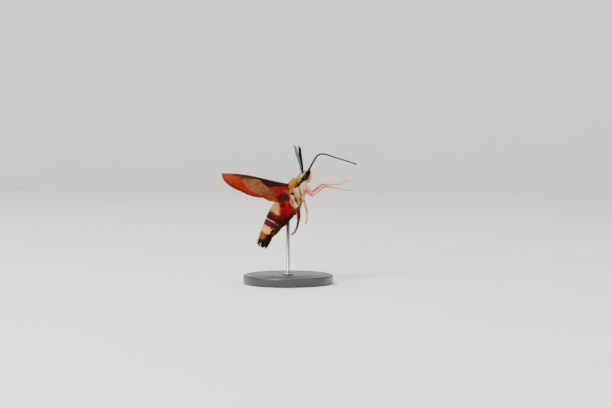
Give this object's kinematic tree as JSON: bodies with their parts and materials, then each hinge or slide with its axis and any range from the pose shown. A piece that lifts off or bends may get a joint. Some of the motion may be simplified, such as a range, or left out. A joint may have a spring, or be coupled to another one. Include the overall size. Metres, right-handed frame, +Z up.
{
  "type": "hummingbird clearwing moth",
  "caption": "Hovering clearwing hawk moth, wings swept up and back, tongue reaching forward, tail tuft spread, held by one rod on a round display base.",
  "frame": {"origin": "middle of the underside of the stand's round base", "axes": "+Z up, +X the way the moth faces, its right side towards -Y; the moth's middle plane is XZ"},
  "size_m": [0.0441, 0.03, 0.0462],
  "materials": {
    "olive_fur": "matte hair, olive gold",
    "maroon_fur": "matte scales, dark burgundy",
    "tail_scales": "matte long scales, near black",
    "pale_fur": "matte hair, cream",
    "wing_scales": "brick red scales round a clear window",
    "eye": "glossy black brown",
    "dark_shell": "satin black",
    "leg_scales": "matte pale orange scales",
    "leg_dark": "matte dark red brown scales",
    "stand_base": "satin black paint",
    "stand_rod": "fine brushed steel"
  },
  "bodies": {
    "root": {"abdomen": "maroon_fur", "antenna_left": "dark_shell", "antenna_right": "dark_shell", "eye_left": "eye", "eye_right": "eye", "forewing_left": "wing_scales", "forewing_right": "wing_scales", "head": "olive_fur", "hindwing_left": "wing_scales", "hindwing_right": "wing_scales", "leg_front_left_femur": "pale_fur", "leg_front_left_tarsus": "leg_scales", "leg_front_left_tibia": "leg_scales", "leg_front_right_femur": "pale_fur", "leg_front_right_tarsus": "leg_scales", "leg_front_right_tibia": "leg_scales", "leg_hind_left_femur": "pale_fur", "leg_hind_left_tarsus": "leg_dark", "leg_hind_left_tibia": "leg_dark", "leg_hind_right_femur": "pale_fur", "leg_hind_right_tarsus": "leg_dark", "leg_hind_right_tibia": "leg_dark", "leg_mid_left_femur": "pale_fur", "leg_mid_left_tarsus": "leg_scales", "leg_mid_left_tibia": "leg_scales", "leg_mid_right_femur": "pale_fur", "leg_mid_right_tarsus": "leg_scales", "leg_mid_right_tibia": "leg_scales", "palp_left": "pale_fur", "palp_right": "pale_fur", "proboscis_middle": "dark_shell", "proboscis_root": "dark_shell", "proboscis_tip": "dark_shell", "stand_base": "stand_base", "stand_rod": "stand_rod", "tail_tuft": "tail_scales", "tegula_left": "olive_fur", "tegula_right": "olive_fur", "thorax": "olive_fur"}
  },
  "joints": []
}
